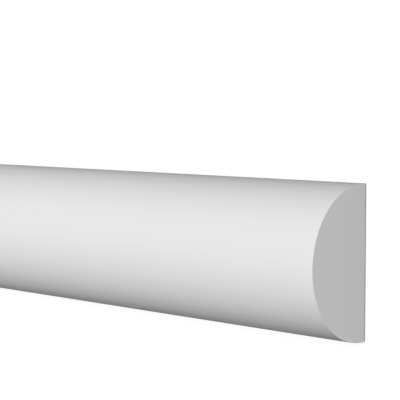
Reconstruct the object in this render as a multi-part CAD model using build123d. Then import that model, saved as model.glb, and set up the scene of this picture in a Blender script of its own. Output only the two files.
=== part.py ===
from build123d import *
import os

# Half-round wall moulding: one solid length of stock with a flat back, in millimetres.
# It lies on its back. X runs along the length, Y across the back and Z out of the wall.
# The origin is the middle of the back face.

# Driving dimensions
LENGTH = 2000.0  # stock length, square at both ends
WIDTH = 50.0  # across the back, over the two returns
RETURN_HEIGHT = 3.0  # straight edge that stands square on the back, under the half round
ARRIS_RADIUS = 2.0  # eased edge all round the back face

# Sizes that follow from them
CROWN_RADIUS = WIDTH / 2  # the half round spans the whole width


def section():
    """The profile as the cut end shows it: flat back, two short returns and the half round.

    The half round is drawn as two quarters that meet at the crown, so the finished length has
    an edge along its crown to measure the depth to.
    """
    edge = WIDTH / 2
    base = Polyline((edge, RETURN_HEIGHT), (edge, 0), (-edge, 0), (-edge, RETURN_HEIGHT))
    quarters = [
        CenterArc((0, RETURN_HEIGHT), CROWN_RADIUS, start_angle=start, arc_size=90)
        for start in (0, 90)
    ]
    outline = Wire(base.edges() + [quarter.edge() for quarter in quarters])
    return make_face(outline)


def moulding():
    """The full length, with the arris eased where the back meets the returns and the ends."""
    end = Plane.YZ.offset(-LENGTH / 2)
    blank = extrude(end * section(), LENGTH, clean=False)
    back = blank.faces().sort_by(Axis.Z).first
    return fillet(back.edges(), ARRIS_RADIUS)


os.makedirs("parts", exist_ok=True)
export_step(moulding(), "parts/half_round_moulding.step")
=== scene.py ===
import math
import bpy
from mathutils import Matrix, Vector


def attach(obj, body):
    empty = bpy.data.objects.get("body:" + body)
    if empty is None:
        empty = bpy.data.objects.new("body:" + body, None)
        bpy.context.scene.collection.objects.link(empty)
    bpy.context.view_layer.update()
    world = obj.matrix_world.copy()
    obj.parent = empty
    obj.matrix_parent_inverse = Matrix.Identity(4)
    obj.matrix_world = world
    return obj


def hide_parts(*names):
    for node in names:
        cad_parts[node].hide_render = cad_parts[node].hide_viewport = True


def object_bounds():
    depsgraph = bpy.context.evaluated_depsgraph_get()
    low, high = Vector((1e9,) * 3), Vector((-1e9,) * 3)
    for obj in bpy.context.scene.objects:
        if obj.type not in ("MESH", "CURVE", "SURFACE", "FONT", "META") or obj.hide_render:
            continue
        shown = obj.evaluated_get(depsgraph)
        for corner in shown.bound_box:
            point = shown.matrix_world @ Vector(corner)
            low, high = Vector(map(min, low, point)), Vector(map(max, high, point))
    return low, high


bl_info = {
    "name": "Half-Round Wall Moulding",
    "version": (1, 0, 0),
    "blender": (4, 5, 0),
    "location": "View3D > Sidebar > Moulding",
    "description": "Makes a primed length of half-round wall moulding and the studio it is pictured in",
    "category": "Add Mesh",
}

import bmesh
import bpy
from bpy.props import FloatProperty, FloatVectorProperty, IntProperty, PointerProperty
from bpy.types import Operator, Panel, PropertyGroup
from mathutils import Vector

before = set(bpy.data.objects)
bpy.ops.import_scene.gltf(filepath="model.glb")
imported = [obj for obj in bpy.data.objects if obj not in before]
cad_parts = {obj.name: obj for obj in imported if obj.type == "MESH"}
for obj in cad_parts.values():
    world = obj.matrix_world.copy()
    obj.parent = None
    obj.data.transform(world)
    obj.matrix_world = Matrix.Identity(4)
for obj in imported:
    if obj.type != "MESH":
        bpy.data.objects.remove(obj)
CAD_LOW, CAD_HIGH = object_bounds()
CAD_SIZE = CAD_HIGH - CAD_LOW

SOLID = "half_round_moulding"  # the plain solid that the dressed length stands for
LENGTH_NAME = "primed_moulding_length"
CUT_MARK = "sawn_end"  # face attribute, 1 on the two square cuts
BACK_MARK = "moulded_back"  # face attribute, 1 on the flat back

MILLIMETRE = 0.001
MICRON = 0.001 * MILLIMETRE
QUARTER_TURN = math.pi / 2
ARRIS_RADIUS = 2 * MILLIMETRE
PRIMER_IOR = 1.45  # index of refraction of an acrylic primer
SENSOR_WIDTH = 36.0  # the camera's, in millimetres
WHITE = (1.0, 1.0, 1.0, 1.0)


# Sizes, finish and studio settings


class MouldingSizes(PropertyGroup):
    """What the profile and the length measure, and how finely their rounds are stepped."""

    length: FloatProperty(
        name="Length",
        description="Stock length between the two square cuts",
        default=CAD_SIZE.x,
        min=0.1,
        unit="LENGTH",
        subtype="DISTANCE",
    )
    width: FloatProperty(
        name="Width",
        description="Width of the back, which is also the diameter of the half round",
        default=CAD_SIZE.y,
        min=0.01,
        unit="LENGTH",
        subtype="DISTANCE",
    )
    return_height: FloatProperty(
        name="Return height",
        description="Straight edge that stands on the back, under the half round",
        default=CAD_SIZE.z - CAD_SIZE.y / 2,
        min=ARRIS_RADIUS,
        unit="LENGTH",
        subtype="DISTANCE",
    )
    arris_radius: FloatProperty(
        name="Arris radius",
        description="Easing of the edge all round the back, no larger than the return height",
        default=ARRIS_RADIUS,
        min=0.1 * MILLIMETRE,
        unit="LENGTH",
        subtype="DISTANCE",
    )
    arris_steps: IntProperty(
        name="Arris steps",
        description="Faces round the eased edge",
        default=8,
        min=1,
    )
    crown_steps: IntProperty(
        name="Crown steps",
        description="Faces from a return up to the crown",
        default=40,
        min=4,
    )
    length_steps: IntProperty(
        name="Length steps",
        description="Faces along the length",
        default=40,
        min=1,
    )


class PrimerFinish(PropertyGroup):
    """The look of the primed face, the sawn ends and the moulded back."""

    primer_colour: FloatVectorProperty(
        name="Primer",
        description="Colour of the primer where the spray lay thick",
        subtype="COLOR",
        default=(0.81, 0.81, 0.81),
        min=0.0,
        max=1.0,
    )
    thin_primer_colour: FloatVectorProperty(
        name="Thin primer",
        description="Colour of the primer where the spray lay thin",
        subtype="COLOR",
        default=(0.79, 0.79, 0.79),
        min=0.0,
        max=1.0,
    )
    foam_colour: FloatVectorProperty(
        name="Foam",
        description="Colour of the bare foam, at the cuts and on the back",
        subtype="COLOR",
        default=(0.79, 0.79, 0.79),
        min=0.0,
        max=1.0,
    )
    # The pore colour is painted shade: the darker colour in the open cells stands in for the shadow
    # inside them.
    painted_pore_shade: FloatVectorProperty(
        name="Pores",
        description="Colour inside the cells that the saw opens",
        subtype="COLOR",
        default=(0.7, 0.7, 0.7),
        min=0.0,
        max=1.0,
    )
    primer_roughness: FloatProperty(
        name="Primer roughness",
        description="Roughness of the primed face",
        default=0.85,
        min=0.0,
        max=1.0,
        subtype="FACTOR",
    )
    foam_roughness: FloatProperty(
        name="Foam roughness",
        description="Roughness of the bare foam",
        default=0.95,
        min=0.0,
        max=1.0,
        subtype="FACTOR",
    )
    sheen: FloatProperty(
        name="Sheen",
        description="How much the face mirrors, low for a matt primer",
        default=0.1,
        min=0.0,
        max=1.0,
        subtype="FACTOR",
    )
    cloud_width: FloatProperty(
        name="Cloud width",
        description="Width of the faint clouds where the spray lay thicker or thinner",
        default=45 * MILLIMETRE,
        min=MILLIMETRE,
        unit="LENGTH",
        subtype="DISTANCE",
    )
    spray_width: FloatProperty(
        name="Spray width",
        description="Width of the fine dimples in the sprayed primer",
        default=1.4 * MILLIMETRE,
        min=0.1 * MILLIMETRE,
        unit="LENGTH",
        subtype="DISTANCE",
    )
    spray_depth: FloatProperty(
        name="Spray depth",
        description="Depth of the dimples in the sprayed primer",
        default=5 * MICRON,
        min=0.0,
        unit="LENGTH",
        subtype="DISTANCE",
    )
    draw_width: FloatProperty(
        name="Draw line width",
        description="Width of the faint lines that run the whole length",
        default=5 * MILLIMETRE,
        min=0.1 * MILLIMETRE,
        unit="LENGTH",
        subtype="DISTANCE",
    )
    draw_depth: FloatProperty(
        name="Draw line depth",
        description="Depth of the faint lines that run the whole length",
        default=7 * MICRON,
        min=0.0,
        unit="LENGTH",
        subtype="DISTANCE",
    )
    stroke_width: FloatProperty(
        name="Saw stroke width",
        description="Width of the strokes that the saw leaves across a cut",
        default=0.9 * MILLIMETRE,
        min=0.1 * MILLIMETRE,
        unit="LENGTH",
        subtype="DISTANCE",
    )
    stroke_depth: FloatProperty(
        name="Saw stroke depth",
        description="Depth of the strokes that the saw leaves across a cut",
        default=12 * MICRON,
        min=0.0,
        unit="LENGTH",
        subtype="DISTANCE",
    )
    pore_spacing: FloatProperty(
        name="Pore spacing",
        description="Distance from one open cell of the foam to the next",
        default=0.55 * MILLIMETRE,
        min=0.1 * MILLIMETRE,
        unit="LENGTH",
        subtype="DISTANCE",
    )
    pore_depth: FloatProperty(
        name="Pore depth",
        description="Depth of the cells that the saw opens",
        default=25 * MICRON,
        min=0.0,
        unit="LENGTH",
        subtype="DISTANCE",
    )
    skin_depth: FloatProperty(
        name="Skin depth",
        description="Depth of the dimples in the foam's own skin, on the back",
        default=8 * MICRON,
        min=0.0,
        unit="LENGTH",
        subtype="DISTANCE",
    )


class StudioLook(PropertyGroup):
    """Where the camera and the lamp stand, and what the length lies on."""

    camera_place: FloatVectorProperty(
        name="Camera place",
        description="Where the camera stands, in front of the near end and above it",
        subtype="XYZ",
        unit="LENGTH",
        default=(1.243, 0.0512, 0.3327),
        precision=4,
    )
    camera_heading: FloatProperty(
        name="Camera heading",
        description="Turn from straight down on the face towards the near end",
        subtype="ANGLE",
        default=math.radians(43.508),
    )
    camera_pitch: FloatProperty(
        name="Camera pitch",
        description="Tilt of the view towards the lower edge of the picture",
        subtype="ANGLE",
        default=math.radians(4.4),
    )
    camera_roll: FloatProperty(
        name="Camera roll",
        description="Turn of the camera about its own line of sight",
        subtype="ANGLE",
        default=math.radians(-0.097),
    )
    lens: FloatProperty(
        name="Lens",
        description="Focal length in millimetres, on a sensor 36 mm wide",
        subtype="DISTANCE_CAMERA",
        default=117.88,
    )
    key_direction: FloatVectorProperty(
        name="Key direction",
        description="The way to the key light, from the length",
        subtype="DIRECTION",
        default=(0.5, 0.29, 0.816),
    )
    key_strength: FloatProperty(
        name="Key strength",
        description="Light of the key on a surface that faces it",
        default=2.995,
        min=0.0,
    )
    key_spread: FloatProperty(
        name="Key spread",
        description="Width of the key as the length sees it, which softens its shadow",
        subtype="ANGLE",
        default=math.radians(25),
    )
    room_light: FloatProperty(
        name="Room light",
        description="Strength of the even light from all round",
        default=0.187,
        min=0.0,
    )
    floor_bounce: FloatVectorProperty(
        name="Floor bounce",
        description="Colour of the floor past the card, as the length is lit by it",
        subtype="COLOR",
        default=(0.1, 0.1, 0.1),
        min=0.0,
        max=1.0,
    )
    # The dark card is painted shade: only light bounced onto the length sees it, in place of the
    # length's own shadow on the floor.
    shade_card_colour: FloatVectorProperty(
        name="Card",
        description="Colour of the dark card under the length, which keeps light off its edges",
        subtype="COLOR",
        default=(0.01, 0.01, 0.01),
        min=0.0,
        max=1.0,
    )
    board_colour: FloatVectorProperty(
        name="Boards",
        description="Colour of the pale boards that light the sides the key leaves dark",
        subtype="COLOR",
        default=(0.6, 0.6, 0.6),
        min=0.0,
        max=1.0,
    )
    strip_width: FloatProperty(
        name="Strip width",
        description="Width of the pale board beside the length",
        default=10 * MILLIMETRE,
        min=0.0,
        unit="LENGTH",
        subtype="DISTANCE",
    )
    # The card's margin is how far this painted shade on the floor reaches past the length.
    shade_card_margin: FloatProperty(
        name="Card margin",
        description="How far the card reaches past the length all round",
        default=20 * MILLIMETRE,
        min=0.0,
        unit="LENGTH",
        subtype="DISTANCE",
    )
    floor_shadow: FloatVectorProperty(
        name="Floor shadow",
        description="Colour of the floor's lit part, which the shadow on it takes away",
        subtype="COLOR",
        default=(0.14, 0.14, 0.14),
        min=0.0,
        max=1.0,
    )
    floor_glow: FloatProperty(
        name="Floor glow",
        description="What the floor adds to its lit part where the camera or a reflection sees it",
        default=0.9,
        min=0.0,
    )
    floor_reach: FloatProperty(
        name="Floor reach",
        description="Distance from the length to the edge of the floor",
        default=30.0,
        unit="LENGTH",
        subtype="DISTANCE",
    )


# Node trees


class Number:
    """A number that a node puts out. Arithmetic on it adds the Math nodes that work it out."""

    def __init__(self, bench, socket):
        self.bench = bench
        self.socket = socket

    def maths(self, operation, *values):
        return self.bench.add("ShaderNodeMath", {"operation": operation}, dict(enumerate(values)))

    def __add__(self, other):
        return self.maths("ADD", self, other)

    __radd__ = __add__

    def __sub__(self, other):
        return self.maths("SUBTRACT", self, other)

    def __rsub__(self, other):
        return self.maths("SUBTRACT", other, self)

    def __mul__(self, other):
        return self.maths("MULTIPLY", self, other)

    __rmul__ = __mul__

    def __truediv__(self, other):
        return self.maths("DIVIDE", self, other)

    def __rtruediv__(self, other):
        return self.maths("DIVIDE", other, self)

    def clamped(self):
        return self.bench.add("ShaderNodeClamp", inputs={"Value": self})

    def absolute(self):
        return self.maths("ABSOLUTE", self)

    def sine(self):
        return self.maths("SINE", self)

    def cosine(self):
        return self.maths("COSINE", self)

    def largest(self, other):
        return self.maths("MAXIMUM", self, other)

    def above(self, limit):
        return self.maths("GREATER_THAN", self, limit)


# A Mix node lists its colour sockets after those for numbers and vectors.
MIX_COLOUR_A = 6
MIX_COLOUR_B = 7
MIX_COLOUR_RESULT = 2


class Bench:
    """Adds nodes to one tree and wires them up."""

    def __init__(self, tree):
        self.tree = tree

    def add(self, kind, settings=None, inputs=None, output=0):
        """A new node's output. Settings are set before the sockets, which take values or links."""
        node = self.tree.nodes.new(kind)
        for name, value in (settings or {}).items():
            setattr(node, name, value)
        for name, value in (inputs or {}).items():
            if isinstance(value, Number):
                self.tree.links.new(value.socket, node.inputs[name])
            else:
                node.inputs[name].default_value = value
        return Number(self, node.outputs[output]) if node.outputs else node

    def parts(self, vector):
        """The X, Y and Z of a vector, as three numbers."""
        return [
            self.add("ShaderNodeSeparateXYZ", inputs={"Vector": vector}, output=axis)
            for axis in "XYZ"
        ]

    def mixed(self, share, first, second):
        """The first colour where share is 0, the second where it is 1."""
        colours = [
            colour if isinstance(colour, Number) else (*colour, 1.0)
            for colour in (first, second)
        ]
        return self.add(
            "ShaderNodeMix",
            {"data_type": "RGBA"},
            {"Factor": share, MIX_COLOUR_A: colours[0], MIX_COLOUR_B: colours[1]},
            output=MIX_COLOUR_RESULT,
        )

    def either(self, share, first, second):
        """The first shader where share is 0, the second where it is 1."""
        return self.add("ShaderNodeMixShader", inputs={"Fac": share, 1: first, 2: second})


def new_material(name):
    """An empty node material and the bench for its tree."""
    material = bpy.data.materials.new(name)
    material.use_nodes = True
    material.node_tree.nodes.clear()
    return material, Bench(material.node_tree)


# The length of moulding


def length_tree():
    """The node tree that bends a stepped block into the length: every level of the block is one line
    round the profile, from the back up to the crown."""
    tree = bpy.data.node_groups.new("half_round_length", "GeometryNodeTree")
    tree.interface.new_socket("Geometry", in_out="OUTPUT", socket_type="NodeSocketGeometry")
    for name in ("Length", "Width", "Return Height", "Arris Radius"):
        tree.interface.new_socket(name, in_out="INPUT", socket_type="NodeSocketFloat")
    for name in ("Arris Steps", "Crown Steps", "Length Steps"):
        tree.interface.new_socket(name, in_out="INPUT", socket_type="NodeSocketInt")
    tree.interface.new_socket("Material", in_out="INPUT", socket_type="NodeSocketMaterial")
    bench = Bench(tree)

    def size(name):
        return bench.add("NodeGroupInput", output=name)

    # The block reaches from -1 to 1 along X and Y, and each of its levels is 1 high.
    arris_steps = size("Arris Steps")
    crown_steps = size("Crown Steps")
    levels = arris_steps + 1 + crown_steps
    block_size = bench.add("ShaderNodeCombineXYZ", inputs={"X": 2.0, "Y": 2.0, "Z": levels})
    block = bench.add(
        "GeometryNodeMeshCube",
        inputs={
            "Size": block_size,
            "Vertices X": size("Length Steps") + 1,
            "Vertices Y": 2,
            "Vertices Z": levels + 1,
        },
    )

    # How far round the arris, up the return and round the crown a point has come.
    spot = bench.add("GeometryNodeInputPosition")
    along, side, rise = bench.parts(spot)
    level = rise + levels / 2
    arris_turn = (level / arris_steps).clamped() * QUARTER_TURN
    return_rise = (level - arris_steps).clamped()
    crown_turn = ((level - arris_steps - 1) / crown_steps).clamped() * QUARTER_TURN

    # Where that is on the profile.
    radius = size("Arris Radius")
    half_round = size("Width") / 2
    inset = radius * (1 - arris_turn.sine())
    half_length = size("Length") / 2 - inset
    half_width = half_round * crown_turn.cosine() - inset
    height = (
        radius * (1 - arris_turn.cosine())
        + (size("Return Height") - radius) * return_rise
        + half_round * crown_turn.sine()
    )
    place = bench.add(
        "ShaderNodeCombineXYZ",
        inputs={"X": along * half_length, "Y": side * half_width, "Z": height},
    )
    bent = bench.add("GeometryNodeSetPosition", inputs={"Geometry": block, "Position": place})
    closed = bench.add(
        "GeometryNodeMergeByDistance",
        inputs={"Geometry": bent, "Distance": MICRON},
    )

    # The flat faces, which are square on an axis, unlike those of the easing between them.
    facing_along, _, facing_up = bench.parts(bench.add("GeometryNodeInputNormal"))
    nearly_square = 0.999
    cut = facing_along.absolute().above(nearly_square)
    back = (-1 * facing_up).above(nearly_square)
    marked = closed
    for name, chosen in ((CUT_MARK, cut), (BACK_MARK, back)):
        marked = bench.add(
            "GeometryNodeStoreNamedAttribute",
            {"data_type": "FLOAT", "domain": "FACE"},
            {"Geometry": marked, "Name": name, "Value": chosen},
        )

    # The rounds are shaded smooth, the flats flat, and the edge round each cut stays crisp.
    smooth = bench.add(
        "GeometryNodeSetShadeSmooth",
        {"domain": "FACE"},
        {"Geometry": marked, "Shade Smooth": 1 - cut.largest(back)},
    )
    fold = bench.add("GeometryNodeInputMeshEdgeAngle", output="Unsigned Angle")
    crisp_fold = math.radians(40)
    creased = bench.add(
        "GeometryNodeSetShadeSmooth",
        {"domain": "EDGE"},
        {"Geometry": smooth, "Selection": fold.above(crisp_fold), "Shade Smooth": False},
    )
    real = bench.add("GeometryNodeRealizeInstances", inputs={"Geometry": creased})
    dressed = bench.add(
        "GeometryNodeSetMaterial",
        inputs={"Geometry": real, "Material": size("Material")},
    )
    bench.add("NodeGroupOutput", inputs={"Geometry": dressed})
    return tree


def run_tree(piece, tree, values):
    """Gives the piece the plain mesh that the tree makes with these values, and no modifier."""
    modifier = piece.modifiers.new("shape", "NODES")
    modifier.node_group = tree
    for item in tree.interface.items_tree:
        if item.in_out == "INPUT":
            modifier[item.identifier] = values[item.name]
    depsgraph = bpy.context.evaluated_depsgraph_get()
    mesh = bpy.data.meshes.new_from_object(piece.evaluated_get(depsgraph), depsgraph=depsgraph)
    piece.modifiers.remove(modifier)
    piece.data = mesh
    mesh.name = piece.name
    for slot in reversed(range(len(mesh.materials))):
        if mesh.materials[slot] is None:
            mesh.materials.pop(index=slot)


def require_closed(piece):
    """Raises an error unless the piece's mesh is one closed skin that faces outwards."""
    skin = bmesh.new()
    skin.from_mesh(piece.data)
    closed = all(edge.is_manifold and edge.is_contiguous for edge in skin.edges)
    volume = skin.calc_volume(signed=True)
    skin.free()
    if not closed or volume <= 0:
        raise RuntimeError(f"{piece.name} isn't a closed mesh that faces outwards")


# How many times longer the lumps of a noise are along X, Y and Z.
EVEN = (1.0, 1.0, 1.0)
LENGTHWAYS = (60.0, 1.0, 1.0)
CROSSWAYS = (1.0, 30.0, 1.0)
NOISE_MIDDLE = 0.5  # what a noise gives on average


def noise(bench, spot, width, stretch=EVEN):
    """Noise whose lumps are about width wide, in metres."""
    detail = 2.0
    squeezed = bench.add(
        "ShaderNodeMapping",
        inputs={"Vector": spot, "Scale": tuple(1 / (width * times) for times in stretch)},
    )
    return bench.add("ShaderNodeTexNoise", inputs={"Vector": squeezed, "Scale": 1.0, "Detail": detail})


def primer_material(finish):
    """White primed foam: a smooth sprayed face, fine open cells at the cuts, a plain moulded back."""
    material, bench = new_material("white_primed_foam")
    spot = bench.add("ShaderNodeTexCoord", output="Object")
    cut = bench.add("ShaderNodeAttribute", {"attribute_name": CUT_MARK}, output="Fac")
    back = bench.add("ShaderNodeAttribute", {"attribute_name": BACK_MARK}, output="Fac")
    bare = cut.largest(back)

    dimples = noise(bench, spot, finish.spray_width)
    draw = noise(bench, spot, finish.draw_width, LENGTHWAYS)
    cloud = noise(bench, spot, finish.cloud_width)
    stroke = noise(bench, spot, finish.stroke_width, CROSSWAYS)
    pore_reach = 0.3  # how far a pore reaches from its middle, as a share of the spacing
    cells = bench.add(
        "ShaderNodeTexVoronoi",
        inputs={"Vector": spot, "Scale": 1 / finish.pore_spacing},
    )
    pore = (1 - cells / pore_reach).clamped()

    pore_shade = 0.35  # how far the foam is darkened towards the pore colour, a painted shade, at the middle of a pore
    primer = bench.mixed((cloud + draw) / 2, finish.primer_colour, finish.thin_primer_colour)
    # The cut's foam is darkened in each pore with painted shade.
    foam = bench.mixed(pore * pore_shade, finish.foam_colour, finish.painted_pore_shade)
    colour = bench.mixed(bare, primer, foam)

    patchiness = 0.06  # how much rougher or smoother the primer is from dimple to dimple
    face_roughness = finish.primer_roughness + patchiness * (dimples - NOISE_MIDDLE)
    roughness = face_roughness + bare * (finish.foam_roughness - finish.primer_roughness)

    # The relief is in metres, so the bump takes it as it is.
    face_relief = dimples * finish.spray_depth + draw * finish.draw_depth
    cut_relief = stroke * finish.stroke_depth - pore * finish.pore_depth
    back_relief = dimples * finish.skin_depth
    relief = face_relief * (1 - bare) + cut_relief * cut + back_relief * back
    bump = bench.add("ShaderNodeBump", inputs={"Strength": 1.0, "Distance": 1.0, "Height": relief})
    shader = bench.add(
        "ShaderNodeBsdfPrincipled",
        inputs={
            "Base Color": colour,
            "Roughness": roughness,
            "Normal": bump,
            "IOR": PRIMER_IOR,
            "Specular IOR Level": finish.sheen,
        },
    )
    bench.add("ShaderNodeOutputMaterial", inputs={"Surface": shader})
    return material


class MOULDING_OT_make_length(Operator):
    """Make one primed length of half-round moulding in place of the plain solid"""

    bl_idname = "moulding.make_length"
    bl_label = "Make Moulding Length"

    def execute(self, context):
        sizes = context.scene.moulding_sizes
        piece = bpy.data.objects.new(LENGTH_NAME, bpy.data.meshes.new(LENGTH_NAME))
        context.scene.collection.objects.link(piece)
        values = {
            "Length": sizes.length,
            "Width": sizes.width,
            "Return Height": sizes.return_height,
            "Arris Radius": sizes.arris_radius,
            "Arris Steps": sizes.arris_steps,
            "Crown Steps": sizes.crown_steps,
            "Length Steps": sizes.length_steps,
            "Material": primer_material(context.scene.moulding_finish),
        }
        run_tree(piece, length_tree(), values)
        require_closed(piece)
        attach(piece, "root")
        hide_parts(SOLID)
        return {"FINISHED"}


# The studio


def seen_directly(bench):
    """1 for a ray from the camera, a reflection or a see-through surface, 0 for a ray that lights."""
    rays = [
        bench.add("ShaderNodeLightPath", output=name)
        for name in ("Is Camera Ray", "Is Glossy Ray", "Is Transmission Ray")
    ]
    return rays[0].largest(rays[1]).largest(rays[2])


def matt(bench, colour):
    """A plain matt shader of one colour."""
    return bench.add("ShaderNodeBsdfDiffuse", inputs={"Color": (*colour, 1.0)})


def floor_masks(bench, look):
    """Two numbers that are 1 on a part of the floor and 0 elsewhere. The first is 1 past the dark card
    that the length lies on, which is painted shade on the floor in place of the length's own shadow
    there. The second is 1 on the pale boards, which lie where the key leaves the length dark: a strip
    beside it, and all that is past the far end."""
    x, y, _ = bench.parts(bench.add("ShaderNodeTexCoord", output="Object"))
    past_end = x.absolute() - CAD_HIGH.x
    past_side = y.absolute() - CAD_HIGH.y
    past_shade_card = past_end.largest(past_side).above(look.shade_card_margin)

    past_dark_side = CAD_LOW.y - y
    strip = past_dark_side.above(0.0) - past_dark_side.above(look.strip_width)
    beside = strip * (1 - past_end.above(0.0))
    past_far_end = (CAD_LOW.x - x).above(0.0)
    return past_shade_card, beside.largest(past_far_end)


def make_floor(look):
    """A wide floor just under the back, white to the camera save for the length's shadow. The length
    itself is lit as if it lay on a dark card, a painted shade that stands in for its own shadow on the
    floor near it, with pale boards near its dark sides, on a dim floor."""
    gap = 0.05 * MILLIMETRE  # keeps the floor and the back from sharing one plane
    reach = look.floor_reach
    corners = [(-reach, -reach), (reach, -reach), (reach, reach), (-reach, reach)]
    mesh = bpy.data.meshes.new("studio_floor")
    mesh.from_pydata([(x, y, -gap) for x, y in corners], [], [range(4)])
    floor = bpy.data.objects.new("studio_floor", mesh)
    bpy.context.scene.collection.objects.link(floor)

    material, bench = new_material("pale_floor")
    past_shade_card, on_board = floor_masks(bench, look)
    # The dark card is painted shade: the floor's bounce near the length is darkened where the length's
    # own shadow would lie.
    dim = bench.either(past_shade_card, matt(bench, look.shade_card_colour), matt(bench, look.floor_bounce))
    lighting = bench.either(on_board, dim, matt(bench, look.board_colour))
    lit = matt(bench, look.floor_shadow)
    glow = bench.add("ShaderNodeEmission", inputs={"Color": WHITE, "Strength": look.floor_glow})
    white = bench.add("ShaderNodeAddShader", inputs={0: lit, 1: glow})
    surface = bench.either(seen_directly(bench), lighting, white)
    bench.add("ShaderNodeOutputMaterial", inputs={"Surface": surface})
    mesh.materials.append(material)


def make_room(look):
    """Even low light from all round, seen as plain white."""
    world = bpy.data.worlds.new("studio_room")
    world.use_nodes = True
    world.node_tree.nodes.clear()
    bench = Bench(world.node_tree)
    lighting = bench.add("ShaderNodeBackground", inputs={"Color": WHITE, "Strength": look.room_light})
    plain = 1.0  # the strength that renders as plain white
    backdrop = bench.add("ShaderNodeBackground", inputs={"Color": WHITE, "Strength": plain})
    surface = bench.either(seen_directly(bench), lighting, backdrop)
    bench.add("ShaderNodeOutputWorld", inputs={"Surface": surface})
    bpy.context.scene.world = world


def make_key(look):
    """The one soft lamp, high over the near end."""
    lamp = bpy.data.lights.new("key_light", "SUN")
    lamp.energy = look.key_strength
    lamp.angle = look.key_spread
    key = bpy.data.objects.new("key_light", lamp)
    key.rotation_mode = "QUATERNION"
    key.rotation_quaternion = Vector(look.key_direction).to_track_quat("Z", "Y")
    bpy.context.scene.collection.objects.link(key)


def make_camera(look):
    """The camera above the near end, with the width of the moulding upright in the picture."""
    data = bpy.data.cameras.new("picture_camera")
    data.sensor_width = SENSOR_WIDTH
    data.lens = look.lens
    camera = bpy.data.objects.new("picture_camera", data)
    camera.location = look.camera_place
    camera.rotation_mode = "ZXY"
    camera.rotation_euler = (-look.camera_pitch, look.camera_heading, look.camera_roll)
    bpy.context.scene.collection.objects.link(camera)
    bpy.context.scene.camera = camera


class MOULDING_OT_set_stage(Operator):
    """Lay the floor, set the lamp and the room light, and place the camera"""

    bl_idname = "moulding.set_stage"
    bl_label = "Set Stage"

    def execute(self, context):
        look = context.scene.moulding_look
        make_floor(look)
        make_room(look)
        make_key(look)
        make_camera(look)
        context.scene.view_settings.view_transform = "Standard"
        return {"FINISHED"}


# The sidebar and the run


class MOULDING_PT_sidebar(Panel):
    """Lists the settings and the two steps"""

    bl_idname = "MOULDING_PT_sidebar"
    bl_label = "Half-Round Moulding"
    bl_space_type = "VIEW_3D"
    bl_region_type = "UI"
    bl_category = "Moulding"

    def draw(self, context):
        for step, group_names in STEPS.items():
            box = self.layout.box()
            for group_name in group_names:
                for setting in SETTINGS[group_name].__annotations__:
                    box.prop(getattr(context.scene, group_name), setting)
            box.operator(step.bl_idname)


SETTINGS = {
    "moulding_sizes": MouldingSizes,
    "moulding_finish": PrimerFinish,
    "moulding_look": StudioLook,
}
STEPS = {
    MOULDING_OT_make_length: ("moulding_sizes", "moulding_finish"),
    MOULDING_OT_set_stage: ("moulding_look",),
}
CLASSES = (*SETTINGS.values(), *STEPS, MOULDING_PT_sidebar)


def register():
    for cls in CLASSES:
        bpy.utils.register_class(cls)
    for name, group in SETTINGS.items():
        setattr(bpy.types.Scene, name, PointerProperty(type=group))


def unregister():
    for name in SETTINGS:
        delattr(bpy.types.Scene, name)
    for cls in reversed(CLASSES):
        bpy.utils.unregister_class(cls)


def main():
    register()
    bpy.ops.moulding.make_length()
    bpy.ops.moulding.set_stage()


if __name__ == "__main__":
    main()
